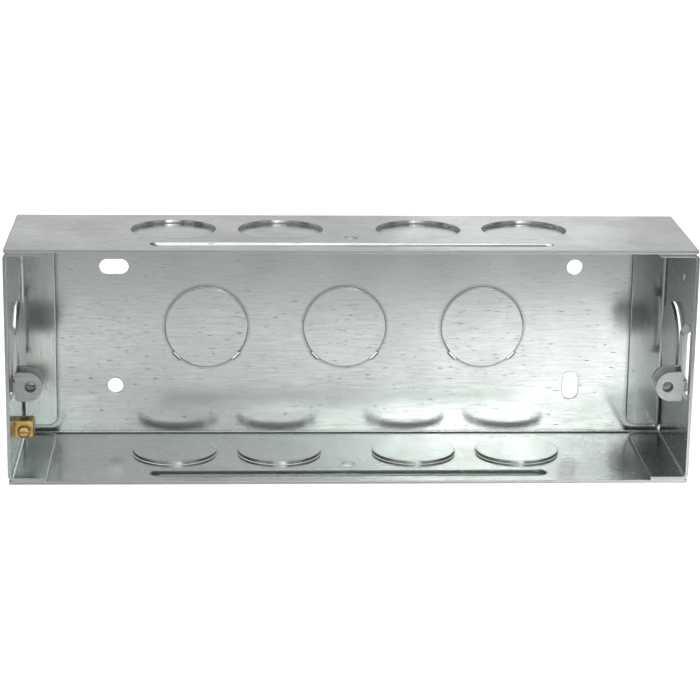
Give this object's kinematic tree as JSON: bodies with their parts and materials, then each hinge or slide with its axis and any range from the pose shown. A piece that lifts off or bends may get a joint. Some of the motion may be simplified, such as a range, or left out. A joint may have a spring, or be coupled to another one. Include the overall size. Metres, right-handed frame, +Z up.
{
  "type": "modular metal box",
  "caption": "Open-fronted flush wall box of folded galvanised sheet with round knockouts, stiffening beads, sliding plate lugs and a brass earth terminal.",
  "frame": {"origin": "centre of the box's footprint, on the outer face of its bottom long wall", "axes": "+X along the box to the right seen from the open front, +Y from the open front into the back wall, +Z up"},
  "size_m": [0.2066, 0.05, 0.0727],
  "materials": {
    "galvanised_sheet": "zinc-coated rolled sheet with fine lengthwise lines and small dark specks",
    "lug_steel": "dull zinc-plated pressing",
    "brass": "plain turned and milled brass",
    "brass_screw": "bright brass screw"
  },
  "bodies": {
    "box": {"channel_body": "galvanised_sheet", "left_end_cap": "galvanised_sheet", "right_end_cap": "galvanised_sheet", "earth_terminal": "brass", "earth_screw": "brass_screw"},
    "left_lug": {"left_lug": "lug_steel"},
    "right_lug": {"right_lug": "lug_steel"}
  },
  "joints": [
    {"name": "left_lug_slide", "type": "slide", "parent": "box", "child": "left_lug", "axis": [0, 0, 1], "range_m": [0, 0.0138]},
    {"name": "right_lug_slide", "type": "slide", "parent": "box", "child": "right_lug", "axis": [0, 0, 1], "range_m": [0, 0.0138]}
  ]
}
